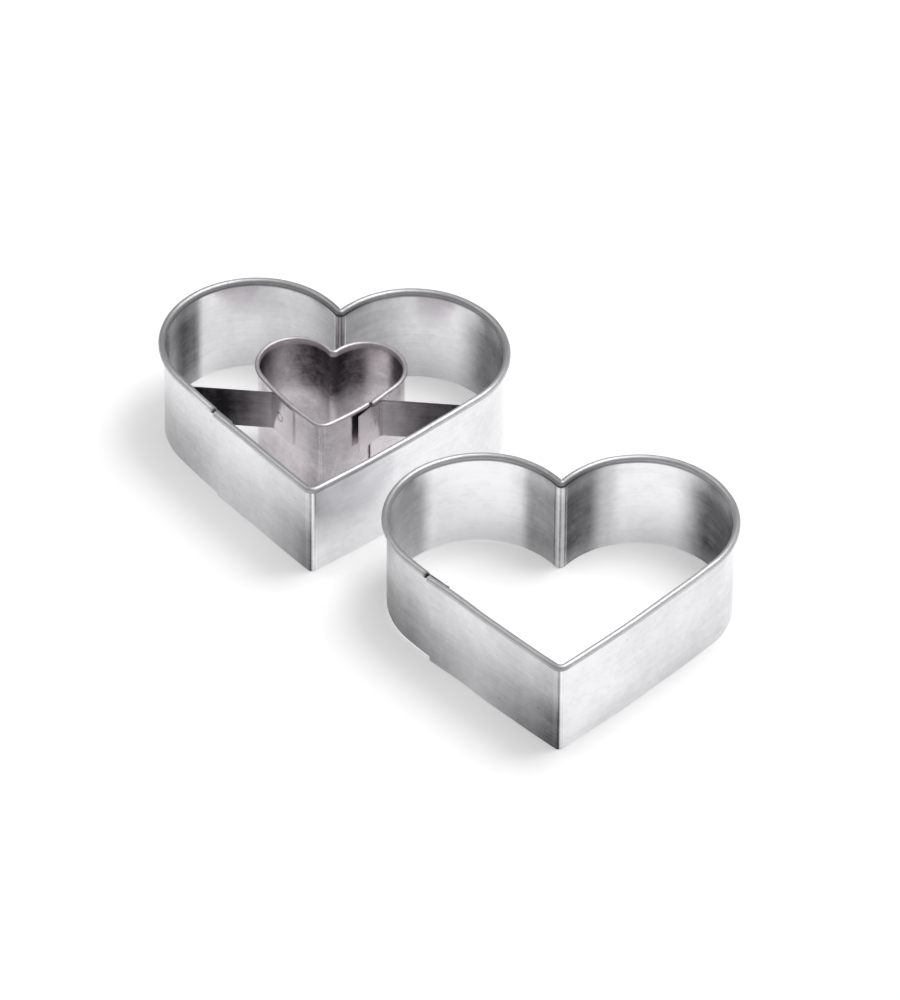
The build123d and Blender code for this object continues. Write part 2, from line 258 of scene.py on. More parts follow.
# How each strip is marked. Bands and rim are (share of the strip's length from its seam, dullness), and a
# reach is (share of the heart's height, how much of the bands shows there). Bands, rim tones and reaches
# are painted reflections and shade. A fold is (share of the length, stops over its reach), a painted
# line of shade and highlight. "gloss" is the strip's roughness against the large hearts'. All of it was
# placed one by one.
TIP_FOLD = [
    (0.2, 0.5), (0.296, 0.42), (0.37, 0.45), (0.417, 0.62), (0.454, 0.95), (0.49, 0.8), (0.52, 0.2),
    (0.583, 0.25), (0.611, 0.68), (0.64, 0.35), (0.7, 0.5),
]
PLAIN_CLEFT = [
    (0.259, 0.5), (0.333, 0.15), (0.38, 0.7), (0.426, 0.3), (0.48, 0.35), (0.52, 0.8), (0.565, 0.3),
    (0.648, 0.35), (0.704, 0.85), (0.75, 0.5),
]
WINDOW_CLEFT = [
    (0.296, 0.5), (0.352, 0.12), (0.398, 0.9), (0.463, 0.95), (0.5, 0.4), (0.537, 0.9), (0.602, 0.95),
    (0.648, 0.12), (0.704, 0.5),
]
SMALL_TIP = [(0.0, 0.5), (0.35, 0.5), (0.42, 0.62), (0.5, 0.4), (0.58, 0.65), (0.65, 0.5)]
LARGE_WEAR_AND_SHADE = {
    "cloud": 9 * MM, "mottle": 0.04, "gloss": 1.0,
    "inside reach": [(0.0, 0.75), (0.25, 1.0), (0.7, 0.95), (0.92, 0.6)],
    "outside reach": [(0.0, 1.0), (0.3, 0.85), (0.7, 0.5), (0.92, 0.4)],
}
WINDOW_WEAR_AND_SHADE = LARGE_WEAR_AND_SHADE | {
    "inside": [
        (0.0, 0.15), (0.39, 0.1), (0.425, 0.95), (0.48, 0.82), (0.525, 0.1), (0.56, 0.25), (0.6, 0.5),
        (0.64, 0.55), (0.66, 0.45), (0.7, 0.3), (0.76, 0.1), (0.8, 0.0), (0.812, 0.8), (0.83, 0.92),
        (0.855, 0.65), (0.875, 0.92), (0.89, 0.7), (0.95, 0.2), (1.0, 0.15),
    ],
    "outside": [
        (0.0, 0.15), (0.07, 0.15), (0.11, 0.45), (0.141, 0.75), (0.149, 0.05), (0.4, 0.1), (0.86, 0.1),
        (0.9, 0.45), (0.95, 0.35), (1.0, 0.15),
    ],
    "rim": [
        (0.0, 0.5), (0.12, 0.5), (0.142, 0.75), (0.16, 0.5), (0.38, 0.45), (0.45, 0.6), (0.6, 0.65),
        (0.646, 1.0), (0.69, 0.65), (0.85, 0.8), (0.96, 0.55), (0.975, 0.1), (0.994, 0.1), (1.0, 0.8),
    ],
    "folds": [(0.1437, TIP_FOLD), (0.6462, WINDOW_CLEFT)],
}
PLAIN_WEAR_AND_SHADE = LARGE_WEAR_AND_SHADE | {
    "inside": [
        (0.0, 0.2), (0.39, 0.1), (0.445, 0.96), (0.515, 0.92), (0.56, 0.0), (0.605, 0.0), (0.625, 0.3),
        (0.645, 0.85), (0.672, 0.95), (0.678, 0.5), (0.685, 0.68), (0.7, 0.66), (0.715, 0.68),
        (0.73, 0.1), (0.745, 0.0), (0.815, 0.0), (0.835, 0.55), (0.9, 0.45), (0.95, 0.2), (1.0, 0.2),
    ],
    "outside": [
        (0.0, 0.5), (0.06, 0.25), (0.13, 0.6), (0.173, 0.9), (0.181, 0.03), (0.43, 0.25), (0.5, 0.1),
        (0.86, 0.1), (0.92, 0.85), (0.97, 0.65), (1.0, 0.5),
    ],
    "rim": [
        (0.0, 0.5), (0.15, 0.5), (0.1745, 0.85), (0.19, 0.5), (0.4, 0.45), (0.48, 0.6), (0.63, 0.65),
        (0.678, 1.0), (0.72, 0.65), (0.88, 0.6), (0.996, 0.5), (1.0, 1.0),
    ],
    "folds": [(0.1758, TIP_FOLD), (0.678, PLAIN_CLEFT)],
}
# The small heart's bands are painted reflections and shade; inside they grow darker towards the top.
SMALL_WEAR_AND_SHADE = {
    "cloud": 5 * MM, "mottle": 0.09, "gloss": 1.3,
    "inside": [
        (0.0, 0.1), (0.13, 0.3), (0.16, 0.95), (0.2, 0.85), (0.235, 0.36), (0.27, 0.36), (0.3, 0.8),
        (0.345, 0.9), (0.366, 1.0), (0.385, 0.9), (0.44, 0.88), (0.5, 0.56), (0.54, 0.58), (0.585, 0.95),
        (0.64, 0.3), (0.86, 0.5),
    ],
    "outside": [
        (0.0, 0.0), (0.2, 0.2), (0.62, 0.15), (0.75, 0.0), (0.8, 0.1), (0.86, 0.6), (0.88, 0.55),
        (0.93, 0.3), (0.96, 0.03),
    ],
    "inside reach": [(0.0, 0.15), (0.3, 0.4), (0.6, 1.0)],
    "outside reach": [(0.0, 1.0), (0.25, 0.9), (0.5, 0.55), (0.9, 0.35)],
    "rim": [
        (0.0, 0.6), (0.01, 0.1), (0.15, 0.25), (0.25, 0.4), (0.366, 0.15), (0.45, 0.4), (0.6, 0.25),
        (0.99, 0.1),
    ],
    "folds": [(0.8705, SMALL_TIP)],
}

# A strap's bands go by the place across the window cutter, in heart widths, from 0 at the left.
# These bands are painted reflections and shade.
STRAP_BANDS = [
    (0.03, 0.3), (0.06, 0.5), (0.1, 0.9), (0.2, 0.93), (0.25, 0.82), (0.3, 0.66), (0.343, 0.5), (0.35, 0.0),
    (0.65, 0.0), (0.657, 0.4), (0.7, 0.5), (0.75, 0.68), (0.8, 0.82), (0.9, 0.88), (0.94, 0.5), (0.97, 0.3),
]
STRAP_WEAR_AND_SHADE = {
    "cloud": 4 * MM, "mottle": 0.03, "gloss": 1.2,
    "inside": STRAP_BANDS, "outside": STRAP_BANDS, "rim": STRAP_BANDS,
    "inside reach": [(0.0, 1.0)], "outside reach": [(0.0, 1.0)], "folds": [],
}

# Pick the patterns on the small heart and the straps. The large hearts' follow their waves' seeds.
SMALL_SEED = 9
STRAP_SEED = 15


def linear(hex_colour):
    """An sRGB hex value as the linear colour that nodes take."""
    channels = [int(hex_colour[i : i + 2], 16) / 255 for i in (1, 3, 5)]
    return [c / 12.92 if c <= 0.04045 else ((c + 0.055) / 1.055) ** 2.4 for c in channels] + [1.0]


def add_node(tree, kind, settings=None, inputs=None, stops=()):
    """Adds a node, sets its properties, fills or links its inputs, and places a ramp's grey stops.

    An input is a value, a socket, or a node that stands for its first output.
    """
    node = tree.nodes.new(kind)
    for name, value in (settings or {}).items():
        setattr(node, name, value)
    for key, value in (inputs or {}).items():
        source = value.outputs[0] if isinstance(value, bpy.types.Node) else value
        if isinstance(source, bpy.types.NodeSocket):
            tree.links.new(source, node.inputs[key])
        else:
            node.inputs[key].default_value = source
    for i, (share, level) in enumerate(stops):
        ramp = node.color_ramp
        ramp.interpolation = "EASE"
        element = ramp.elements[i] if i < 2 else ramp.elements.new(share)
        element.position = share
        element.color = (level, level, level, 1.0)
    return node


def add_object(name, data):
    """A new object in the scene."""
    thing = bpy.data.objects.new(name, data)
    bpy.context.scene.collection.objects.link(thing)
    return thing


# The path of a heart's wall, at its outer face, in the heart's own frame with the tip towards -Y.
# A stretch is (x, y, radius, start, end) in metres and radians. The radius is negative where the wall
# bows inwards.


def heart_arcs(width, lobe_share, side_share, lobe_end, tip_bend, cleft_bend, setback):
    """The right half of a heart's outline: four arcs, tangent to each other."""
    lobe_radius = lobe_share * width
    side_radius = side_share * width
    spread = width / 2 - lobe_radius
    side_x = spread - (side_radius - lobe_radius) * math.cos(lobe_end)
    side_y = -(side_radius - lobe_radius) * math.sin(lobe_end)
    tip_y = side_y - math.sqrt((side_radius - tip_bend) ** 2 - side_x**2)
    tip_end = math.atan2(tip_y - side_y, -side_x)
    cleft_y = math.sqrt((lobe_radius + cleft_bend) ** 2 - spread**2)
    lobe_start = math.atan2(cleft_y, -spread)
    return {
        "cleft": (0, cleft_y - setback, -cleft_bend, lobe_start - math.pi, -math.pi / 2),
        "lobe": (spread, -setback, lobe_radius, lobe_end, lobe_start),
        "side": (side_x, side_y - setback, side_radius, tip_end, lobe_end),
        "tip": (0, tip_y - setback, tip_bend, -math.pi / 2, tip_end),
        "side length": (lobe_end - tip_end) * side_radius,
    }


def part_of(arc, first, last):
    """The stretch of an arc between two distances from its start."""
    x, y, radius, start, _ = arc
    return (x, y, radius, start + first / radius, start + last / radius)


def leaving(side, station, run, rise, way, first, last):
    """An arc that leaves a side at a station and stands out by rise after run."""
    x, y, side_radius, start, _ = side
    radius = 1 / (1 / side_radius - 2 * rise / run**2)
    angle = start + station / side_radius
    x += (side_radius - radius) * math.cos(angle)
    y += (side_radius - radius) * math.sin(angle)
    first_angle = angle if radius > 0 else angle + math.pi
    return (x, y, radius, first_angle + way * first / radius, first_angle + way * last / radius)


def mirrored(arc):
    x, y, radius, start, end = arc
    return (-x, y, radius, math.pi - end, math.pi - start)


def backwards(arc):
    x, y, radius, start, end = arc
    return (x, y, radius, end, start)


def points_along(arcs, step):
    """Points along a chain of arcs, without the doubled ones where two arcs meet."""
    points = []
    for x, y, radius, start, end in arcs:
        turn = end - start
        count = max(2, math.ceil(max(abs(radius * turn) / step, abs(turn) / BEND_STEP)))
        for i in range(count + 1):
            angle = start + turn * i / count
            point = (x + abs(radius) * math.cos(angle), y + abs(radius) * math.sin(angle))
            if not points or math.dist(points[-1], point) > step / 1000:
                points.append(point)
    return points


def band_paths(arcs, seam_share, lap, sheet, step):
    """The wall's path from the seam round to the seam, how many of its points have a lower edge that
    is askew, and the flat tongue behind the lap. The seam lies in the right side."""
    side, length = arcs["side"], arcs["side length"]
    seam = seam_share * length
    way = 1 if lap["outer from tip"] else -1
    outer_run, run, sink = lap["outer run"], lap["inner run"], lap["sink"] * sheet
    outer_from, inner_from = seam - way * outer_run, seam + way * run
    outer = leaving(side, outer_from, outer_run, sheet, way, 0, outer_run)
    inner = leaving(side, inner_from, run, -sink, -way, 0, run - lap["notch"])
    tongue = leaving(side, inner_from, run, -sink, -way, run - lap["notch"], run + lap["overlap"])
    low_from, high_from = sorted((outer_from, inner_from))
    low_end, high_end = (outer, inner) if lap["outer from tip"] else (inner, outer)
    last = [backwards(high_end), part_of(side, high_from, length), arcs["lobe"]]
    first = [arcs["cleft"]] + [mirrored(arcs[name]) for name in ("cleft", "lobe", "side", "tip")]
    first += [arcs["tip"], part_of(side, 0, low_from), low_end]
    askew = points_along(last, step)
    wall = askew + points_along(first, step)[1:]
    behind = points_along([backwards(tongue) if lap["outer from tip"] else tongue], step)
    return wall, len(askew), behind


def path_mesh(name, wall, askew_count, behind, on_the_left):
    """Both paths as loose edges, with what each point needs to know stored on it."""
    flip = -1 if on_the_left else 1
    runs = [(wall, 1.0, askew_count), (behind, 0.0, len(behind))]
    vertices, edges, curled, askew = [], [], [], []
    for points, has_rim, askew_until in runs:
        base = len(vertices)
        marked = [(flip * x, y, 1.0 if i < askew_until else 0.0) for i, (x, y) in enumerate(points)]
        if on_the_left:
            marked.reverse()
        vertices += [(x, y, 0) for x, y, _ in marked]
        askew += [a for _, _, a in marked]
        curled += [has_rim] * len(marked)
        edges += [(base + i, base + i + 1) for i in range(len(marked) - 1)]
    mesh = bpy.data.meshes.new(name)
    mesh.from_pydata(vertices, edges, [])
    for label, values in (("curled", curled), ("askew", askew)):
        mesh.attributes.new(label, "FLOAT", "POINT").data.foreach_set("value", values)
    return mesh


# The Geometry Nodes tree that turns a path into a strip with a rolled rim

STRIP_SIZES = (
    "Sheet", "Rim radius", "Rim gap", "Height", "Lower edge rise", "Half width", "Ripple", "Ripple spacing",
)


def strip_section(tree, size, curl_points):
    """Section of the strip: up the inner face, round the curl, and back down the outer face."""
    sheet, rim_radius = size["Sheet"], size["Rim radius"]
    count = 2 * (WALL_POINTS + curl_points)
    halfway = count / 2 - 0.5
    index = add_node(tree, "GeometryNodeInputIndex")
    line = add_node(tree, "GeometryNodeCurvePrimitiveLine")
    points = add_node(tree, "GeometryNodeResampleCurve", None, {"Curve": line, "Count": count})
    from_end = add_node(tree, MATH, {"operation": "SUBTRACT"}, {0: count - 1, 1: index})
    station = add_node(tree, MATH, {"operation": "MINIMUM"}, {0: index, 1: from_end})
    coming_back = add_node(tree, MATH, {"operation": "GREATER_THAN"}, {0: index, 1: halfway})
    hollow = add_node(tree, MATH, {"operation": "SUBTRACT"}, {0: rim_radius, 1: sheet})
    inset = add_node(tree, MATH, {"operation": "MULTIPLY"}, {0: coming_back, 1: sheet})
    reach = add_node(tree, MATH, {"operation": "SUBTRACT"}, {0: rim_radius, 1: inset})

    # The curl goes on until its end stands off the wall by the rim gap.
    drop = add_node(tree, MATH, {"operation": "SUBTRACT"}, {0: size["Rim gap"], 1: hollow})
    share = add_node(tree, MATH, {"operation": "DIVIDE"}, {0: drop, 1: rim_radius})
    under = add_node(tree, MATH, {"operation": "ARCCOSINE"}, {0: share})
    whole = add_node(tree, MATH, {"operation": "ADD"}, {0: under, 1: math.pi})
    past = add_node(tree, MATH, {"operation": "SUBTRACT"}, {0: station, 1: WALL_POINTS - 1})
    clamped = {"operation": "DIVIDE", "use_clamp": True}
    curl = add_node(tree, MATH, clamped, {0: past, 1: max(curl_points, 1)})
    turned = add_node(tree, MATH, {"operation": "MULTIPLY"}, {0: curl, 1: whole})
    climb = add_node(tree, MATH, clamped, {0: station, 1: WALL_POINTS - 1})
    top = add_node(tree, MATH, {"operation": "SUBTRACT"}, {0: size["Height"], 1: rim_radius})
    rise = add_node(tree, MATH, {"operation": "MULTIPLY"}, {0: climb, 1: top})

    cosine = add_node(tree, MATH, {"operation": "COSINE"}, {0: turned})
    sine = add_node(tree, MATH, {"operation": "SINE"}, {0: turned})
    back = add_node(tree, MATH, {"operation": "MULTIPLY"}, {0: reach, 1: cosine})
    out = add_node(tree, MATH, {"operation": "SUBTRACT"}, {0: hollow, 1: back})
    over = add_node(tree, MATH, {"operation": "MULTIPLY"}, {0: reach, 1: sine})
    high = add_node(tree, MATH, {"operation": "ADD"}, {0: rise, 1: over})

    # A swept section's Y axis points down, so its height goes in with its sign turned.
    down = add_node(tree, MATH, {"operation": "MULTIPLY"}, {0: high, 1: -1.0})
    place = add_node(tree, "ShaderNodeCombineXYZ", None, {"X": out, "Y": down})
    placed = add_node(tree, "GeometryNodeSetPosition", None, {"Geometry": points, "Position": place})
    return add_node(tree, "GeometryNodeSetSplineCyclic", None, {"Geometry": placed, "Cyclic": True})


def marked_path(tree, path, curled):
    """The path as curves, with its outward direction, the share along it and its half of the heart."""
    curve = add_node(tree, "GeometryNodeMeshToCurve", None, {"Mesh": path})
    marked = add_node(tree, "GeometryNodeSetCurveNormal", {"mode": "Z_UP"}, {"Curve": curve})

    # The tongue lies behind the strip's far end, so all of it counts as that end.
    factor = add_node(tree, "GeometryNodeSplineParameter").outputs["Factor"]
    flat = add_node(tree, MATH, {"operation": "SUBTRACT"}, {0: 1.0, 1: curled})
    along = add_node(tree, MATH, {"operation": "MAXIMUM"}, {0: factor, 1: flat})
    position = add_node(tree, "GeometryNodeInputPosition")
    place = add_node(tree, "ShaderNodeSeparateXYZ", None, {0: position})
    marks = (
        ("outward", "FLOAT_VECTOR", add_node(tree, "GeometryNodeInputNormal")),
        ("along", "FLOAT", along),
        ("half", "FLOAT", place.outputs["X"]),
    )
    for name, kind, value in marks:
        marked = add_node(
            tree, "GeometryNodeStoreNamedAttribute", {"data_type": kind, "domain": "POINT"},
            {"Geometry": marked, "Name": name, "Value": value},
        )
    return marked


def pinched_and_askew(tree, strip, size):
    """The strip with its rim pinched at the cleft and the lower edge of one lobe a little raised."""
    position = add_node(tree, "GeometryNodeInputPosition")
    here = add_node(tree, "ShaderNodeSeparateXYZ", None, {0: position})

    # At the cleft the rim of each lobe stops at the heart's middle.
    half = add_node(tree, "GeometryNodeInputNamedAttribute", {"data_type": "FLOAT"}, {"Name": "half"})
    side = add_node(tree, MATH, {"operation": "SIGN"}, {0: half})
    own = add_node(tree, MATH, {"operation": "MULTIPLY"}, {0: here.outputs["X"], 1: side})
    kept = add_node(tree, MATH, {"operation": "MAXIMUM"}, {0: own, 1: 0.0})
    stopped = add_node(tree, MATH, {"operation": "MULTIPLY"}, {0: kept, 1: side})

    # The lower edge of one lobe rises towards its far side.
    askew = add_node(tree, "GeometryNodeInputNamedAttribute", {"data_type": "FLOAT"}, {"Name": "askew"})
    share = add_node(tree, MATH, {"operation": "DIVIDE"}, {0: kept, 1: size["Half width"]})
    climb = add_node(tree, MATH, {"operation": "MULTIPLY"}, {0: share, 1: size["Lower edge rise"]})
    lift = add_node(tree, MATH, {"operation": "MULTIPLY"}, {0: climb, 1: askew})
    height = add_node(tree, MATH, {"operation": "MAXIMUM"}, {0: here.outputs["Z"], 1: lift})
    place = {"X": stopped, "Y": here.outputs["Y"], "Z": height}
    settled = add_node(tree, "ShaderNodeCombineXYZ", None, place)
    return add_node(tree, "GeometryNodeSetPosition", None, {"Geometry": strip, "Position": settled})


def hand_waves(tree, strip, size):
    """The strip with the shallow upright waves of a wall that was bent by hand."""
    rate = add_node(tree, MATH, {"operation": "DIVIDE"}, {0: 1.0, 1: size["Ripple spacing"]})
    position = add_node(tree, "GeometryNodeInputPosition")
    drawn_up = add_node(
        tree, "ShaderNodeVectorMath", {"operation": "MULTIPLY"}, {0: position, 1: (1.0, 1.0, WAVE_SQUASH)}
    )
    waves = add_node(
        tree, "ShaderNodeTexNoise", {"noise_dimensions": "4D"},
        {"Vector": drawn_up, "W": size["Seed"], "Scale": rate, "Detail": 1.0},
    )
    centred = add_node(tree, MATH, {"operation": "SUBTRACT"}, {0: waves, 1: 0.5})
    swing = add_node(tree, MATH, {"operation": "MULTIPLY"}, {0: centred, 1: size["Ripple"]})
    outward = add_node(
        tree, "GeometryNodeInputNamedAttribute", {"data_type": "FLOAT_VECTOR"}, {"Name": "outward"}
    )
    push = add_node(tree, "ShaderNodeVectorMath", {"operation": "SCALE"}, {0: outward, "Scale": swing})
    return add_node(tree, "GeometryNodeSetPosition", None, {"Geometry": strip, "Offset": push})


def strip_tree():
    """Sweeps the rolled section along the wall and the flat one along the tongue."""
    tree = bpy.data.node_groups.new("Rolled tinplate strip", "GeometryNodeTree")
    sockets = [("Geometry", "Geometry")] + [(label, "Float") for label in STRIP_SIZES]
    sockets += [("Seed", "Int"), ("Place", "Vector"), ("Turn", "Float"), ("Finish", "Material")]
    for label, kind in sockets:
        tree.interface.new_socket(label, in_out="INPUT", socket_type="NodeSocket" + kind)
    tree.interface.new_socket("Geometry", in_out="OUTPUT", socket_type="NodeSocketGeometry")
    size = add_node(tree, "NodeGroupInput").outputs

    curled = add_node(tree, "GeometryNodeInputNamedAttribute", {"data_type": "FLOAT"}, {"Name": "curled"})
    path = marked_path(tree, size["Geometry"], curled)
    split = add_node(
        tree, "GeometryNodeSeparateGeometry", {"domain": "POINT"}, {"Geometry": path, "Selection": curled}
    )
    both = add_node(tree, "GeometryNodeJoinGeometry")
    for curve, curl_points in zip(split.outputs, (CURL_POINTS, 0)):
        section = strip_section(tree, size, curl_points)
        swept = add_node(
            tree, "GeometryNodeCurveToMesh", None,
            {"Curve": curve, "Profile Curve": section, "Fill Caps": True},
        )
        tree.links.new(swept.outputs[0], both.inputs[0])

    wavy = hand_waves(tree, pinched_and_askew(tree, both, size), size)
    spin = add_node(tree, "ShaderNodeCombineXYZ", None, {"Z": size["Turn"]})
    move = {"Geometry": wavy, "Translation": size["Place"], "Rotation": spin}
    placed = add_node(tree, "GeometryNodeTransform", None, move)
    real = add_node(tree, "GeometryNodeRealizeInstances", None, {"Geometry": placed})
    finish = add_node(tree, "GeometryNodeSetMaterial", None, {"Geometry": real, "Material": size["Finish"]})
    add_node(tree, "NodeGroupOutput", None, {0: finish})
    return tree


# Pieces


def tidy_shading(mesh, merge):
    """Turns faces outwards and smooths all but real edges."""
    shape = bmesh.new()
    shape.from_mesh(mesh)
    if merge:
        bmesh.ops.remove_doubles(shape, verts=shape.verts, dist=MERGE_REACH)
    bmesh.ops.recalc_face_normals(shape, faces=shape.faces)
    for face in shape.faces:
        face.smooth = True
    shape.to_mesh(mesh)
    shape.free()
    mesh.set_sharp_from_angle(angle=SHARP_ANGLE)


def add_piece(mesh, node, name, finish, merge):
    """Puts a mesh of one material in the scene, as a piece that stands for a CAD node."""
    mesh.name = name
    mesh.materials.clear()
    mesh.materials.append(finish)
    mesh.polygons.foreach_set("material_index", [0] * len(mesh.polygons))
    tidy_shading(mesh, merge)
    piece = add_object(name, mesh)
    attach(piece, frame["nodes"][node]["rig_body"])
    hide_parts(node)
    return piece


def make_band(name, node, arcs, seam_share, lap, own_inputs):
    """One heart band: the strip tree run along its paths, as a plain mesh."""
    sizes = bpy.context.scene.cutter_sizes
    wall, askew_count, behind = band_paths(arcs, seam_share, lap, sizes.sheet, sizes.path_step)
    path = path_mesh(name + "_path", wall, askew_count, behind, lap["on the left"])
    scaffold = add_object(name + "_path", path)
    tree = bpy.data.node_groups.get("Rolled tinplate strip") or strip_tree()
    modifier = scaffold.modifiers.new("Strip", "NODES")
    modifier.node_group = tree
    inputs = own_inputs | {
        "Sheet": sizes.sheet, "Rim gap": sizes.rim_gap, "Height": sizes.heart_height,
        "Ripple spacing": sizes.ripple_spacing,
    }
    sockets = {s.name: s.identifier for s in tree.interface.items_tree if s.in_out == "INPUT"}
    for label, value in inputs.items():
        modifier[sockets[label]] = value
    evaluated = scaffold.evaluated_get(bpy.context.evaluated_depsgraph_get())
    mesh = bpy.data.meshes.new_from_object(evaluated)
    bpy.data.objects.remove(scaffold)
    if len(mesh.polygons) == 0:
        raise RuntimeError(f"the strip tree gave no faces for {name}")
    return add_piece(mesh, node, name, inputs["Finish"], False)


def upright_prism(source, name):
    """The outline of a strap's upper edge, carried straight down to its lower edge.

    The CAD strap has its weld marks cut in, which leaves slivers that shade badly. Here the marks are
    in the material, as darker rings with painted shade for their grooves.
    """
    shape = bmesh.new()
    shape.from_mesh(source)
    bmesh.ops.remove_doubles(shape, verts=shape.verts, dist=MERGE_REACH)
    top = max(v.co.z for v in shape.verts)
    low = min(v.co.z for v in shape.verts)
    cap = [face for face in shape.faces if min(v.co.z for v in face.verts) > top - TOP_REACH]
    following = {}
    for face in cap:
        for loop in face.loops:
            if any(other not in cap for other in loop.edge.link_faces):
                following[loop.vert.index] = loop.link_loop_next.vert.index
    places = {v.index: (v.co.x, v.co.y) for v in shape.verts}
    shape.free()
    here = first = next(iter(following))
    outline = []
    while not outline or here != first:
        outline.append(places[here])
        here = following[here]
    if len(outline) != len(following):
        raise RuntimeError(f"the upper edge of {name} isn't one outline")
    count = len(outline)
    vertices = [(x, y, low) for x, y in outline] + [(x, y, top) for x, y in outline]
    faces = [(i, (i + 1) % count, count + (i + 1) % count, count + i) for i in range(count)]
    faces += [tuple(range(count - 1, -1, -1)), tuple(range(count, 2 * count))]
    mesh = bpy.data.meshes.new(name)
    mesh.from_pydata(vertices, [], faces)
    return mesh


def weld_places(node):
    """The middle of each slug in a node of weld nuggets."""
    slugs = []
    for vertex in frame["nodes"][node].data.vertices:
        slug = next((s for s in slugs if (s[0] - vertex.co).length < SLUG_REACH), None)
        if slug is None:
            slugs.append([vertex.co.copy()])
        else:
            slug.append(vertex.co.copy())
    return [[(min(p[k] for p in slug) + max(p[k] for p in slug)) / 2 for k in range(3)] for slug in slugs]


# Materials


def blank_material(name):
    """A material with an empty node tree."""
    material = bpy.data.materials.get(name) or bpy.data.materials.new(name)
    material.use_nodes = True
    material.node_tree.nodes.clear()
    return material


def tin_patterns(tree, place, look, wear_and_shade, seed):
    """Noise textures of the tin, and how much each adds to its dullness: cloudy patches where it has gone
    dull, blotches of stain, rolling lines round the strip, and fine smudges and specks."""
    squash = (LINE_SQUASH, LINE_SQUASH, 1.0)
    squashed = add_node(tree, "ShaderNodeMapping", None, {"Vector": place, "Scale": squash})
    patterns = (
        ("clouds", place, seed, wear_and_shade["cloud"], 4.0, 0.55, (0.34, 0.68, 0.0, look.cloudiness)),
        ("blotches", place, seed + 3, BLOTCH_SIZE, 6.0, 0.7, (0.36, 0.66, -wear_and_shade["mottle"], wear_and_shade["mottle"])),
        ("lines", squashed, seed + 1, LINE_SPACING, 3.0, 0.5, (0.3, 0.7, -0.03, 0.03)),
        ("specks", place, seed + 2, SPECK_SIZE, 4.0, 0.7, (0.64, 0.76, 0.0, 0.3)),
    )
    noises, levels = {}, {}
    for name, vector, own_seed, size, detail, roughness, (low, high, least, most) in patterns:
        noises[name] = add_node(
            tree, "ShaderNodeTexNoise", {"noise_dimensions": "4D"},
            {"Vector": vector, "W": own_seed, "Scale": 1 / size, "Detail": detail, "Roughness": roughness},
        )
        levels[name] = add_node(
            tree, "ShaderNodeMapRange", None, {0: noises[name], 1: low, 2: high, 3: least, 4: most}
        )
    return noises, levels


def painted_shade_bands(tree, along, height, wear_and_shade):
    """Painted reflections and shade in upright bands along the strip, with its own on each face."""
    faces = []
    for face in ("inside", "outside"):
        bands = add_node(tree, RAMP, None, {"Fac": along}, wear_and_shade[face])
        reach = add_node(tree, RAMP, None, {"Fac": height}, wear_and_shade[face + " reach"])
        faces.append(add_node(tree, MATH, {"operation": "MULTIPLY"}, {0: bands, 1: reach}))
    outward = add_node(tree, "ShaderNodeAttribute", {"attribute_name": "outward"}).outputs["Vector"]
    normal = add_node(tree, "ShaderNodeNewGeometry").outputs["Normal"]
    facing = add_node(tree, "ShaderNodeVectorMath", {"operation": "DOT_PRODUCT"}, {0: normal, 1: outward})
    outside = add_node(
        tree, "ShaderNodeMapRange", None, {0: facing.outputs["Value"], 1: -FACE_BLEND, 2: FACE_BLEND}
    )
    return add_node(
        tree, "ShaderNodeMix", {"data_type": "FLOAT"}, {"Factor": outside, "A": faces[0], "B": faces[1]}
    ).outputs["Result"]


def add_painted_fold_lines(tree, worn_and_shaded, along, folds):
    """Fine upright lines at the folds, painted shade and highlight: a level over a half darkens, and one
    under it brightens.
    """
    for middle, stops in folds:
        start, end = middle - FOLD_REACH, middle + FOLD_REACH
        near = add_node(tree, "ShaderNodeMapRange", None, {0: along, 1: start, 2: end})
        fold = add_node(tree, RAMP, None, {"Fac": near}, stops)
        strength = {0: fold, 1: FOLD_STRENGTH, 2: -FOLD_STRENGTH / 2}
        shift = add_node(tree, MATH, {"operation": "MULTIPLY_ADD"}, strength)
        worn_and_shaded = add_node(tree, MATH, {"operation": "ADD"}, {0: worn_and_shaded, 1: shift})
    return worn_and_shaded


def add_weld_rings_and_shade(tree, worn_and_shaded, place, middles, radius, specks):
    """Rings that the welding tip pressed in, darker where it bit deeper: the weld's own mark, with painted
    shade for the groove.
    """
    for middle in middles:
        away = add_node(tree, "ShaderNodeVectorMath", {"operation": "DISTANCE"}, {0: place, 1: middle})
        reach = {0: away.outputs["Value"], 1: 2 * radius}
        share = add_node(tree, MATH, {"operation": "DIVIDE"}, reach)
        ring = add_node(tree, RAMP, None, {"Fac": share}, WELD_RING)
        bite = add_node(tree, "ShaderNodeMapRange", None, {0: specks} | WELD_BITE)
        worn_and_shaded = add_node(tree, MATH, {"operation": "MULTIPLY_ADD"}, {0: ring, 1: bite, 2: worn_and_shaded})
    return worn_and_shaded


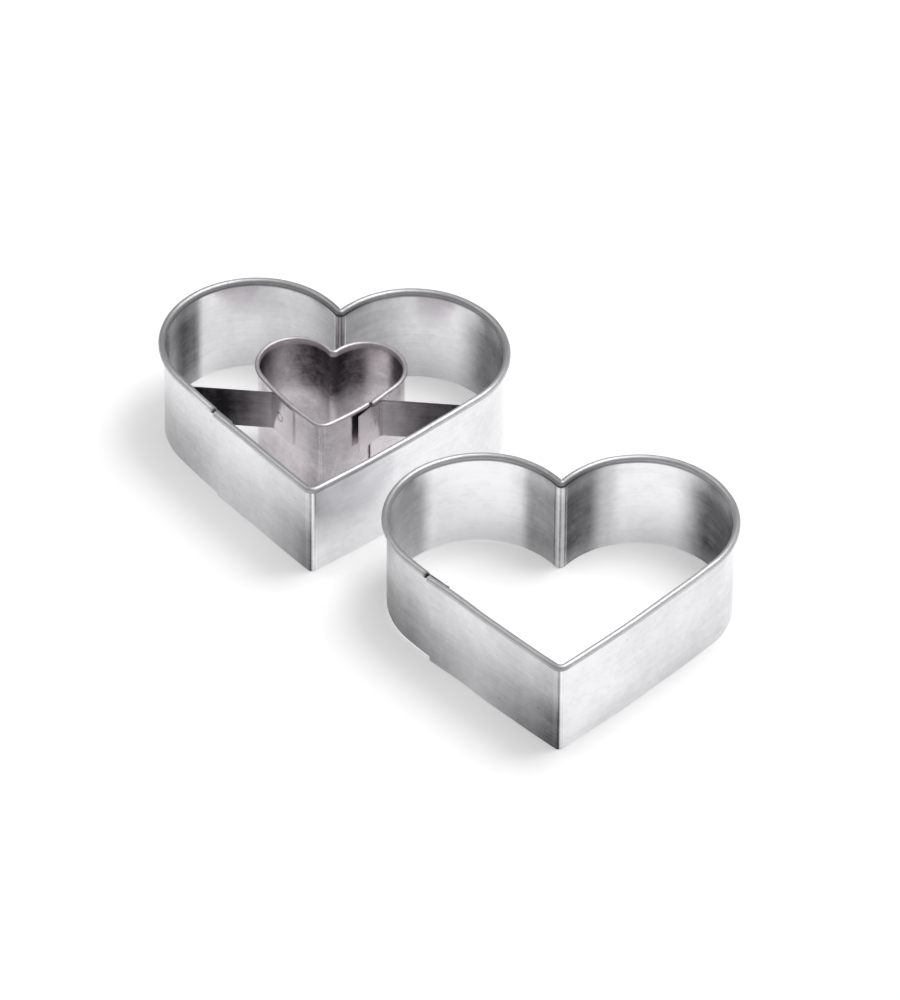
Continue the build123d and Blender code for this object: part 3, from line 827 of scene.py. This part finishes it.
def tinplate(name, pale, dull, look, wear_and_shade, seed):
    """Rolled steel sheet with a thin bright coat of tin. Its gleam is drawn out upright, and it is a
    little clouded by handling. Its bands, fold lines and rim tones are painted reflections and shade, and
    its weld rings are partly painted shade."""
    material = blank_material(name)
    tree = material.node_tree
    place = add_node(tree, "ShaderNodeTexCoord").outputs["Object"]
    along = add_node(tree, "ShaderNodeAttribute", {"attribute_name": "along"}).outputs["Fac"]
    level = add_node(tree, "ShaderNodeSeparateXYZ", None, {0: place}).outputs["Z"]
    heart_height = bpy.context.scene.cutter_sizes.heart_height
    height = add_node(tree, MATH, {"operation": "DIVIDE"}, {0: level, 1: heart_height})

    noises, levels = tin_patterns(tree, place, look, wear_and_shade, seed)
    # Painted reflections and shade: bands on each face, lines at the folds and rings at the welds.
    worn_and_shaded = painted_shade_bands(tree, along, height, wear_and_shade)
    worn_and_shaded = add_painted_fold_lines(tree, worn_and_shaded, along, wear_and_shade["folds"])
    worn_and_shaded = add_weld_rings_and_shade(tree, worn_and_shaded, place, wear_and_shade.get("welds", ()), look.weld_ring, noises["specks"])
    for pattern in levels.values():
        worn_and_shaded = add_node(tree, MATH, {"operation": "ADD"}, {0: worn_and_shaded, 1: pattern})

    # The rolled rim: painted reflections along it and painted shade under its curl make it greyer. Hands
    # have left it a softer gleam and hardly a line.
    rim = add_node(tree, RAMP, None, {"Fac": height}, RIM_START)
    painted_rim_reflection = add_node(tree, RAMP, None, {"Fac": along}, wear_and_shade["rim"])
    curl_shade = add_node(tree, RAMP, None, {"Fac": height}, RIM_CURL_SHADE)
    parts = {0: painted_rim_reflection, 1: curl_shade, 2: levels["blotches"]}
    rubbed_and_shaded = add_node(tree, MATH, {"operation": "MULTIPLY_ADD"}, parts)
    faces = {"Factor": rim, "A": worn_and_shaded, "B": rubbed_and_shaded}
    worn_and_shaded = add_node(tree, "ShaderNodeMix", {"data_type": "FLOAT"}, faces).outputs["Result"]
    # Painted reflections and shade, with the tin's own patches, take the tin towards its dull colour.
    dulled_and_shaded = add_node(tree, "ShaderNodeClamp", None, {"Value": worn_and_shaded})
    tones = {"Factor": dulled_and_shaded, "A": linear(pale), "B": linear(dull)}
    tone = add_node(tree, "ShaderNodeMix", {"data_type": "RGBA"}, tones).outputs["Result"]
    roughness = look.roughness * wear_and_shade["gloss"]
    ends = {0: dulled_and_shaded, 3: roughness * CLEAN_SHARE, 4: roughness * DULL_SHARE}
    gloss = add_node(tree, "ShaderNodeMapRange", None, ends)
    softness = {0: rim, 1: look.rim_softness, 2: gloss}
    soft = add_node(tree, MATH, {"operation": "MULTIPLY_ADD"}, softness)
    strength = {0: rim, 1: -LINE_STRENGTH, 2: LINE_STRENGTH}
    lined = add_node(tree, MATH, {"operation": "MULTIPLY_ADD"}, strength)
    relief = {"Strength": lined, "Distance": LINE_DEPTH, "Height": noises["lines"]}
    bump = add_node(tree, "ShaderNodeBump", None, relief)

    # The lines run round the strip, so they draw a gleam out up and down the wall.
    upright = add_node(tree, "ShaderNodeCombineXYZ", None, {"Z": 1.0})
    metal = add_node(
        tree, "ShaderNodeBsdfPrincipled", None,
        {
            "Base Color": tone, "Metallic": 1.0, "Roughness": soft,
            "Anisotropic": look.gleam_spread, "Tangent": upright, "Normal": bump,
        },
    )
    add_node(tree, "ShaderNodeOutputMaterial", None, {"Surface": metal})
    return material


def weld_steel(name, dark, pale):
    """Steel fused by a spot weld: darker than the tin, and matt."""
    material = blank_material(name)
    tree = material.node_tree
    place = add_node(tree, "ShaderNodeTexCoord").outputs["Object"]
    grain = add_node(
        tree, "ShaderNodeTexNoise", None, {"Vector": place, "Scale": 1 / WELD_GRAIN, "Detail": 3.0}
    )
    tones = {"Factor": grain, "A": linear(dark), "B": linear(pale)}
    tone = add_node(tree, "ShaderNodeMix", {"data_type": "RGBA"}, tones).outputs["Result"]
    finish = {"Base Color": tone, "Metallic": 1.0, "Roughness": 0.45}
    metal = add_node(tree, "ShaderNodeBsdfPrincipled", None, finish)
    add_node(tree, "ShaderNodeOutputMaterial", None, {"Surface": metal})
    return material


def studio_floor(name, colour, glow_level):
    """White paper that stays pale where it is seen, with a soft shadow."""
    material = blank_material(name)
    tree = material.node_tree
    rays = add_node(tree, "ShaderNodeLightPath").outputs
    seen = rays["Is Camera Ray"]
    for ray in ("Is Glossy Ray", "Is Transmission Ray"):
        seen = add_node(tree, MATH, {"operation": "MAXIMUM"}, {0: seen, 1: rays[ray]})
    strength = add_node(tree, MATH, {"operation": "MULTIPLY"}, {0: seen, 1: glow_level})
    glow = add_node(tree, "ShaderNodeEmission", None, {"Strength": strength})
    paper = add_node(tree, "ShaderNodeBsdfDiffuse", None, {"Color": linear(colour)})
    both = add_node(tree, "ShaderNodeAddShader", None, {0: glow, 1: paper})
    add_node(tree, "ShaderNodeOutputMaterial", None, {"Surface": both})
    return material


# Operators


def make_large_band(context, name, node, finish_name, wear_and_shade, seam_share, rise, place, turn, seed):
    sizes, look = context.scene.cutter_sizes, context.scene.tinplate_look
    finish = tinplate(finish_name, look.band_pale, look.band_dull_and_shade, look, wear_and_shade, seed)
    arcs = heart_arcs(sizes.heart_width, setback=0, **LARGE_OUTLINE)
    own_inputs = {
        "Rim radius": sizes.rim_radius, "Lower edge rise": rise, "Half width": sizes.heart_width / 2,
        "Ripple": sizes.ripple, "Seed": seed, "Place": (place[0], place[1], 0.0), "Turn": turn,
        "Finish": finish,
    }
    return make_band(name, node, arcs, seam_share, LARGE_LAP, own_inputs)


class CUTTER_OT_large_bands(bpy.types.Operator):
    """Makes the large heart band of each cutter."""

    bl_idname = "cutter.large_bands"
    bl_label = "Large heart bands"

    def execute(self, context):
        sizes = context.scene.cutter_sizes
        make_large_band(
            context, "window_heart_band", "window_cutter_band", "Bright tinplate, window cutter",
            WINDOW_WEAR_AND_SHADE, WINDOW_SEAM, WINDOW_RISE, sizes.window_place, sizes.window_turn, sizes.ripple_seed,
        )
        make_large_band(
            context, "plain_heart_band", "plain_cutter_band", "Bright tinplate, plain cutter",
            PLAIN_WEAR_AND_SHADE, PLAIN_SEAM, PLAIN_RISE, sizes.plain_place, 0.0, sizes.ripple_seed + 1,
        )
        return {"FINISHED"}


class CUTTER_OT_small_band(bpy.types.Operator):
    """Makes the small heart band that cuts the window."""

    bl_idname = "cutter.small_band"
    bl_label = "Small heart band"

    def execute(self, context):
        sizes, look = context.scene.cutter_sizes, context.scene.tinplate_look
        # Its bands are painted reflections and shade.
        finish = tinplate(
            "Stained tinplate with painted shade, small heart", look.small_pale, look.small_dull_and_shade, look, SMALL_WEAR_AND_SHADE, SMALL_SEED
        )
        arcs = heart_arcs(sizes.small_width, setback=sizes.small_setback, **SMALL_OUTLINE)
        place = sizes.window_place
        own_inputs = {
            "Rim radius": sizes.small_rim_radius, "Lower edge rise": 0.0,
            "Half width": sizes.small_width / 2, "Ripple": 0.0, "Seed": sizes.ripple_seed,
            "Place": (place[0], place[1], 0.0), "Turn": sizes.window_turn, "Finish": finish,
        }
        make_band(
            "small_heart_wall", "small_heart_band", arcs, SMALL_SEAM, SMALL_LAP,
            own_inputs,
        )
        return {"FINISHED"}


class CUTTER_OT_straps(bpy.types.Operator):
    """Makes the two straps that hold the small heart."""

    bl_idname = "cutter.straps"
    bl_label = "Bridge straps"

    def execute(self, context):
        sizes, look = context.scene.cutter_sizes, context.scene.tinplate_look
        wear_and_shade = STRAP_WEAR_AND_SHADE | {"welds": weld_places("strap_weld_nuggets")}
        finish = tinplate("Tinplate strip, straps", look.strap_pale, look.strap_dull_and_shade, look, wear_and_shade, STRAP_SEED)
        middle = Vector(sizes.window_place)
        sideways = Vector((math.cos(sizes.window_turn), math.sin(sizes.window_turn)))
        for side in ("left", "right"):
            node, name = f"{side}_bridge_strap", f"{side}_strap"
            mesh = upright_prism(frame["nodes"][node].data, name)
            strap = add_piece(mesh, node, name, finish, True)
            # The straps' painted reflections and shade go by this place across the cutter.
            across = [0.5 + (v.co.xy - middle).dot(sideways) / sizes.heart_width for v in mesh.vertices]
            strap.data.attributes.new("along", "FLOAT", "POINT").data.foreach_set("value", across)
        return {"FINISHED"}


class CUTTER_OT_welds(bpy.types.Operator):
    """Makes the fused metal of the spot welds."""

    bl_idname = "cutter.welds"
    bl_label = "Spot welds"

    def execute(self, context):
        look = context.scene.tinplate_look
        finish = weld_steel("Spot-welded steel", look.weld_dark, look.weld_pale)
        for node in sorted(frame["nodes"]):
            if node.endswith("weld_nuggets"):
                mesh = frame["nodes"][node].data.copy()
                add_piece(mesh, node, node.replace("nuggets", "spots"), finish, True)
        return {"FINISHED"}


class CUTTER_OT_stage(bpy.types.Operator):
    """Makes the floor, the lights and the camera."""

    bl_idname = "cutter.stage"
    bl_label = "Stage"

    def execute(self, context):
        look = context.scene.stage_look
        make_floor(look)
        make_lights(look)
        make_camera(look)
        context.scene.view_settings.view_transform = "Standard"
        return {"FINISHED"}


def make_floor(look):
    reach = 3.0
    corners = [(-reach, -reach, 0), (reach, -reach, 0), (reach, reach, 0), (-reach, reach, 0)]
    mesh = bpy.data.meshes.new("floor")
    mesh.from_pydata(corners, [], [(0, 1, 2, 3)])
    mesh.materials.append(studio_floor("White studio floor", look.floor_colour, look.floor_glow))
    add_object("floor", mesh)


def make_lights(look):
    world = bpy.data.worlds.new("Studio")
    bpy.context.scene.world = world
    world.use_nodes = True
    tree = world.node_tree
    tree.nodes.clear()
    room = {"Color": (1, 1, 1, 1), "Strength": look.room_level}
    backdrop = add_node(tree, "ShaderNodeBackground", None, room)
    add_node(tree, "ShaderNodeOutputWorld", None, {"Surface": backdrop})
    lamps = (
        ("key", look.key_power, look.key_bearing, look.key_height, look.key_size),
        ("fill", look.fill_power, look.fill_bearing, look.fill_height, look.fill_size),
        ("top", look.top_power, 0.0, TOP_HEIGHT, look.top_size),
    )
    for lamp in lamps:
        make_lamp(*lamp, look.lamp_distance)


def make_lamp(name, power, bearing, height, size, distance):
    """A square soft lamp that faces the origin."""
    light = bpy.data.lights.new(name, "AREA")
    light.size = size
    light.energy = power
    lamp = add_object(name, light)
    level = math.cos(height)
    aim = Vector((math.cos(bearing) * level, math.sin(bearing) * level, math.sin(height)))
    lamp.location = aim * distance
    lamp.rotation_euler = aim.to_track_quat("Z", "Y").to_euler()


def make_camera(look):
    """The camera, as it was fitted to the photo."""
    elevation, roll = look.camera_elevation, look.camera_roll
    spin = Matrix.Rotation(look.camera_turn, 3, "Z")
    back = spin @ Vector((0, -math.cos(elevation), math.sin(elevation)))
    level_right = spin @ Vector((1, 0, 0))
    level_up = spin @ Vector((0, math.sin(elevation), math.cos(elevation)))
    right = level_right * math.cos(roll) + level_up * math.sin(roll)
    up = level_up * math.cos(roll) - level_right * math.sin(roll)
    data = bpy.data.cameras.new("photo_camera")
    data.lens = look.camera_lens
    data.sensor_width = 36
    data.clip_start, data.clip_end = 0.05, 20
    camera = add_object("photo_camera", data)
    target = Vector((look.camera_target[0], look.camera_target[1], 0))
    facing = Matrix((right, up, back)).transposed().to_4x4()
    camera.matrix_world = Matrix.Translation(target + back * look.camera_distance) @ facing
    bpy.context.scene.camera = camera


class CUTTER_PT_panel(bpy.types.Panel):
    """Lists the cutters' pieces and the stage."""

    bl_idname = "CUTTER_PT_panel"
    bl_label = "Cookie cutters"
    bl_space_type = "VIEW_3D"
    bl_region_type = "UI"
    bl_category = "Cutters"

    def draw(self, context):
        for name in GROUPS:
            group, box = getattr(context.scene, name), self.layout.box()
            for key in group.__annotations__:
                box.prop(group, key)
        for operator in OPERATORS:
            self.layout.operator(operator.bl_idname)


OPERATORS = (
    CUTTER_OT_large_bands,
    CUTTER_OT_small_band,
    CUTTER_OT_straps,
    CUTTER_OT_welds,
    CUTTER_OT_stage,
)
GROUPS = {"cutter_sizes": CutterSizes, "tinplate_look": TinplateLook, "stage_look": StageLook}
CLASSES = tuple(GROUPS.values()) + OPERATORS + (CUTTER_PT_panel,)


def register():
    for cls in CLASSES:
        bpy.utils.register_class(cls)
    for name, group in GROUPS.items():
        setattr(bpy.types.Scene, name, PointerProperty(type=group))


def unregister():
    for name in GROUPS:
        delattr(bpy.types.Scene, name)
    for cls in reversed(CLASSES):
        bpy.utils.unregister_class(cls)


def main():
    register()
    bpy.ops.cutter.large_bands()
    bpy.ops.cutter.small_band()
    bpy.ops.cutter.straps()
    bpy.ops.cutter.welds()
    bpy.ops.cutter.stage()


if __name__ == "__main__":
    main()
